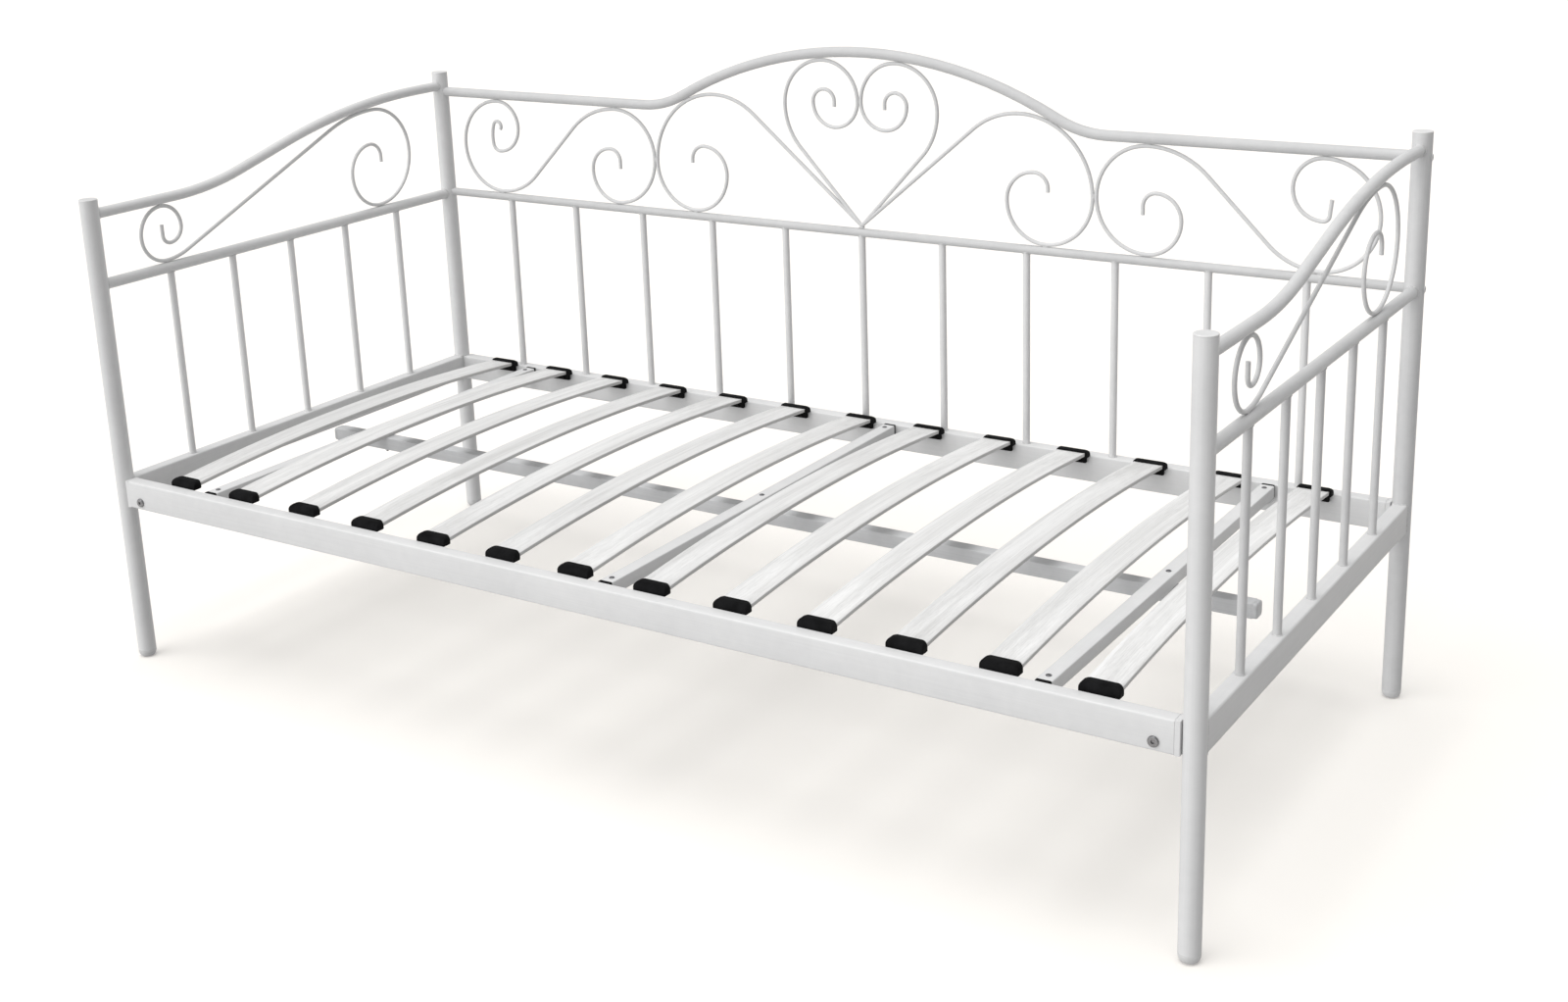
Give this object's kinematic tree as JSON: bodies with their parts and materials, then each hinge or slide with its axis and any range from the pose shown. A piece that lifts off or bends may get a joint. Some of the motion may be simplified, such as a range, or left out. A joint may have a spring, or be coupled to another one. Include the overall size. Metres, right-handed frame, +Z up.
{
  "type": "daybed frame",
  "caption": "White tubular steel daybed frame with an arched back, scrolls and a heart, spindled ends, a front rail and bowed sprung slats in black holders.",
  "frame": {"origin": "On the floor under the middle of the bed, midway between the end panels and midway between the front and back post lines.", "axes": "+X runs along the bed to the right as seen from the open front, +Y runs from the open front to the back panel, +Z is up."},
  "size_m": [2.0852, 0.948, 1.0567],
  "materials": {
    "white_coat": "satin powder coat",
    "beam_coat": "satin powder coat",
    "slat_wood": "pale layered wood, matt",
    "black_plastic": "matt moulded plastic",
    "white_plastic": "moulded plastic, slightly glossy",
    "zinc_steel": "zinc plated"
  },
  "bodies": {
    "frame": {"left_front_post": "white_coat", "left_back_post": "white_coat", "left_top_rail": "white_coat", "left_mid_rail": "white_coat", "left_bottom_rail": "white_coat", "left_spindles": "white_coat", "left_scroll": "white_coat", "right_front_post": "white_coat", "right_back_post": "white_coat", "right_top_rail": "white_coat", "right_mid_rail": "white_coat", "right_bottom_rail": "white_coat", "right_spindles": "white_coat", "right_scroll": "white_coat", "back_top_rail": "white_coat", "back_mid_rail": "white_coat", "back_spindles": "white_coat", "back_rail": "white_coat", "scroll_outer_left": "white_coat", "scroll_inner_left": "white_coat", "heart_left": "white_coat", "heart_right": "white_coat", "scroll_inner_right": "white_coat", "scroll_outer_right": "white_coat", "front_rail": "white_coat", "bracket_front_left": "white_coat", "bracket_front_right": "white_coat", "bracket_back_left": "white_coat", "bracket_back_right": "white_coat", "cross_bar_tabs": "white_coat", "cross_bar_left": "white_coat", "cross_bar_centre": "white_coat", "cross_bar_right": "white_coat", "back_panel_bolts": "white_coat", "centre_beam": "beam_coat", "front_slat_holders": "black_plastic", "back_slat_holders": "black_plastic", "cross_bar_plugs": "black_plastic", "post_top_caps": "white_plastic", "foot_caps": "white_plastic", "centre_beam_plugs": "white_plastic", "cross_bar_screws": "zinc_steel", "cross_bar_nuts": "zinc_steel", "rail_bolts": "zinc_steel", "rail_nuts": "zinc_steel", "rail_end_plugs": "zinc_steel"},
    "slat_01": {"slat_01": "slat_wood"},
    "slat_02": {"slat_02": "slat_wood"},
    "slat_03": {"slat_03": "slat_wood"},
    "slat_04": {"slat_04": "slat_wood"},
    "slat_05": {"slat_05": "slat_wood"},
    "slat_06": {"slat_06": "slat_wood"},
    "slat_07": {"slat_07": "slat_wood"},
    "slat_08": {"slat_08": "slat_wood"},
    "slat_09": {"slat_09": "slat_wood"},
    "slat_10": {"slat_10": "slat_wood"},
    "slat_11": {"slat_11": "slat_wood"},
    "slat_12": {"slat_12": "slat_wood"},
    "slat_13": {"slat_13": "slat_wood"}
  },
  "joints": [
    {"name": "slat_01_spring", "type": "slide", "parent": "frame", "child": "slat_01", "axis": [0, 0, 1], "range_m": [-0.015, 0], "stiffness_N_per_m": 3000, "springref_m": 0.003, "deforming": ["slat_01"]},
    {"name": "slat_02_spring", "type": "slide", "parent": "frame", "child": "slat_02", "axis": [0, 0, 1], "range_m": [-0.015, 0], "stiffness_N_per_m": 3000, "springref_m": 0.003, "deforming": ["slat_02"]},
    {"name": "slat_03_spring", "type": "slide", "parent": "frame", "child": "slat_03", "axis": [0, 0, 1], "range_m": [-0.015, 0], "stiffness_N_per_m": 3000, "springref_m": 0.003, "deforming": ["slat_03"]},
    {"name": "slat_04_spring", "type": "slide", "parent": "frame", "child": "slat_04", "axis": [0, 0, 1], "range_m": [-0.015, 0], "stiffness_N_per_m": 3000, "springref_m": 0.003, "deforming": ["slat_04"]},
    {"name": "slat_05_spring", "type": "slide", "parent": "frame", "child": "slat_05", "axis": [0, 0, 1], "range_m": [-0.015, 0], "stiffness_N_per_m": 3000, "springref_m": 0.003, "deforming": ["slat_05"]},
    {"name": "slat_06_spring", "type": "slide", "parent": "frame", "child": "slat_06", "axis": [0, 0, 1], "range_m": [-0.015, 0], "stiffness_N_per_m": 3000, "springref_m": 0.003, "deforming": ["slat_06"]},
    {"name": "slat_07_spring", "type": "slide", "parent": "frame", "child": "slat_07", "axis": [0, 0, 1], "range_m": [-0.015, 0], "stiffness_N_per_m": 3000, "springref_m": 0.003, "deforming": ["slat_07"]},
    {"name": "slat_08_spring", "type": "slide", "parent": "frame", "child": "slat_08", "axis": [0, 0, 1], "range_m": [-0.015, 0], "stiffness_N_per_m": 3000, "springref_m": 0.003, "deforming": ["slat_08"]},
    {"name": "slat_09_spring", "type": "slide", "parent": "frame", "child": "slat_09", "axis": [0, 0, 1], "range_m": [-0.015, 0], "stiffness_N_per_m": 3000, "springref_m": 0.003, "deforming": ["slat_09"]},
    {"name": "slat_10_spring", "type": "slide", "parent": "frame", "child": "slat_10", "axis": [0, 0, 1], "range_m": [-0.015, 0], "stiffness_N_per_m": 3000, "springref_m": 0.003, "deforming": ["slat_10"]},
    {"name": "slat_11_spring", "type": "slide", "parent": "frame", "child": "slat_11", "axis": [0, 0, 1], "range_m": [-0.015, 0], "stiffness_N_per_m": 3000, "springref_m": 0.003, "deforming": ["slat_11"]},
    {"name": "slat_12_spring", "type": "slide", "parent": "frame", "child": "slat_12", "axis": [0, 0, 1], "range_m": [-0.015, 0], "stiffness_N_per_m": 3000, "springref_m": 0.003, "deforming": ["slat_12"]},
    {"name": "slat_13_spring", "type": "slide", "parent": "frame", "child": "slat_13", "axis": [0, 0, 1], "range_m": [-0.015, 0], "stiffness_N_per_m": 3000, "springref_m": 0.003, "deforming": ["slat_13"]}
  ]
}
